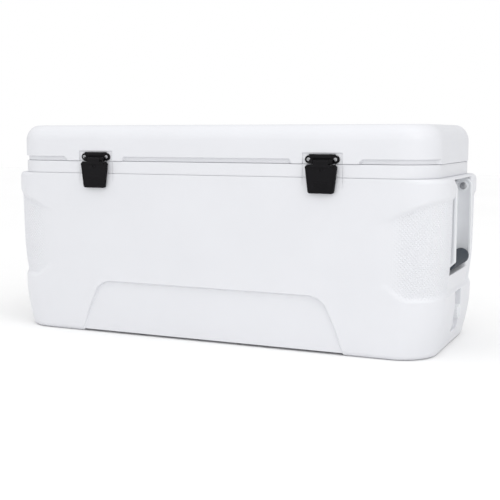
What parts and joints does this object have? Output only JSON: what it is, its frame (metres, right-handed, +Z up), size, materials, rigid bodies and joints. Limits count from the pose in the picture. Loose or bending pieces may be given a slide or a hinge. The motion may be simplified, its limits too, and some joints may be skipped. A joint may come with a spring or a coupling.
{
  "type": "chest cooler",
  "caption": "Large insulated chest cooler: hollow foam-filled body and hinged lid, front latches, bail handles with grips at the ends, and a screw-capped drain.",
  "frame": {"origin": "on the floor, under the middle of the whole object's bounding box", "axes": "+X along the long side towards the end with the drain, -Y towards the front with the latches, +Z up"},
  "size_m": [1.077, 0.4414, 0.4915],
  "materials": {
    "white_shell": "satin moulded polyethylene",
    "white_liner": "smooth wipe-clean moulding",
    "white_fittings": "satin nylon",
    "insulating_foam": "rigid closed-cell foam",
    "black_latch": "satin black nylon",
    "slate_grip": "knurled soft grip",
    "seal_rubber": "matt seal",
    "stainless_steel": "plain stainless"
  },
  "bodies": {
    "cooler_body": {"body_shell": "white_shell", "body_foam": "insulating_foam", "body_liner": "white_liner", "hinge_left_body_leaf": "black_latch", "hinge_left_body_screw_1": "stainless_steel", "hinge_left_body_screw_2": "stainless_steel", "hinge_left_pin": "stainless_steel", "hinge_centre_body_leaf": "black_latch", "hinge_centre_body_screw_1": "stainless_steel", "hinge_centre_body_screw_2": "stainless_steel", "hinge_centre_pin": "stainless_steel", "hinge_right_body_leaf": "black_latch", "hinge_right_body_screw_1": "stainless_steel", "hinge_right_body_screw_2": "stainless_steel", "hinge_right_pin": "stainless_steel", "latch_left_keeper": "black_latch", "latch_left_keeper_screw": "stainless_steel", "handle_left_front_pivot": "stainless_steel", "handle_left_rear_pivot": "stainless_steel", "latch_right_keeper": "black_latch", "latch_right_keeper_screw": "stainless_steel", "handle_right_front_pivot": "stainless_steel", "handle_right_rear_pivot": "stainless_steel", "drain_fitting": "white_fittings", "drain_nut": "white_fittings"},
    "lid": {"lid_shell": "white_shell", "lid_foam": "insulating_foam", "lid_liner": "white_liner", "hinge_left_lid_leaf": "black_latch", "hinge_left_lid_screw_1": "stainless_steel", "hinge_left_lid_screw_2": "stainless_steel", "hinge_centre_lid_leaf": "black_latch", "hinge_centre_lid_screw_1": "stainless_steel", "hinge_centre_lid_screw_2": "stainless_steel", "hinge_right_lid_leaf": "black_latch", "hinge_right_lid_screw_1": "stainless_steel", "hinge_right_lid_screw_2": "stainless_steel", "latch_left_plate": "black_latch", "latch_left_plate_screw_1": "stainless_steel", "latch_left_plate_screw_2": "stainless_steel", "latch_left_pin": "stainless_steel", "latch_right_plate": "black_latch", "latch_right_plate_screw_1": "stainless_steel", "latch_right_plate_screw_2": "stainless_steel", "latch_right_pin": "stainless_steel"},
    "left_latch_flap": {"latch_left_flap": "black_latch"},
    "right_latch_flap": {"latch_right_flap": "black_latch"},
    "left_handle": {"handle_left_bail": "white_fittings", "handle_left_grip": "slate_grip"},
    "right_handle": {"handle_right_bail": "white_fittings", "handle_right_grip": "slate_grip"},
    "drain_seal": {"drain_cap_seal": "seal_rubber"},
    "drain_cap": {"drain_cap": "white_fittings"}
  },
  "joints": [
    {"name": "lid_hinge", "type": "hinge", "parent": "cooler_body", "child": "lid", "pos_m": [0, 0.21565, 0.408], "axis": [-1, 0, 0], "range_deg": [0, 100]},
    {"name": "left_latch_hinge", "type": "hinge", "parent": "lid", "child": "left_latch_flap", "pos_m": [-0.28, -0.21615, 0.4125], "axis": [-1, 0, 0], "range_deg": [0, 120]},
    {"name": "right_latch_hinge", "type": "hinge", "parent": "lid", "child": "right_latch_flap", "pos_m": [0.28, -0.21615, 0.4125], "axis": [-1, 0, 0], "range_deg": [0, 120]},
    {"name": "right_handle_hinge", "type": "hinge", "parent": "cooler_body", "child": "right_handle", "pos_m": [0.519, -0.00135, 0.354], "axis": [0, -1, 0], "range_deg": [0, 90]},
    {"name": "left_handle_hinge", "type": "hinge", "parent": "cooler_body", "child": "left_handle", "pos_m": [-0.519, -0.00135, 0.354], "axis": [0, 1, 0], "range_deg": [0, 90]},
    {"name": "drain_seal_slide", "type": "slide", "parent": "cooler_body", "child": "drain_seal", "axis": [1, 0, 0], "range_m": [0, 0.012]},
    {"name": "drain_cap_turn", "type": "hinge", "parent": "drain_seal", "child": "drain_cap", "pos_m": [0.5173, -0.00135, 0.078], "axis": [1, 0, 0], "range_deg": [0, 1440]}
  ],
  "couplings": [
    {"joint": "drain_seal_slide", "follows": "drain_cap_turn", "m_per_rad": 0.00047746}
  ]
}
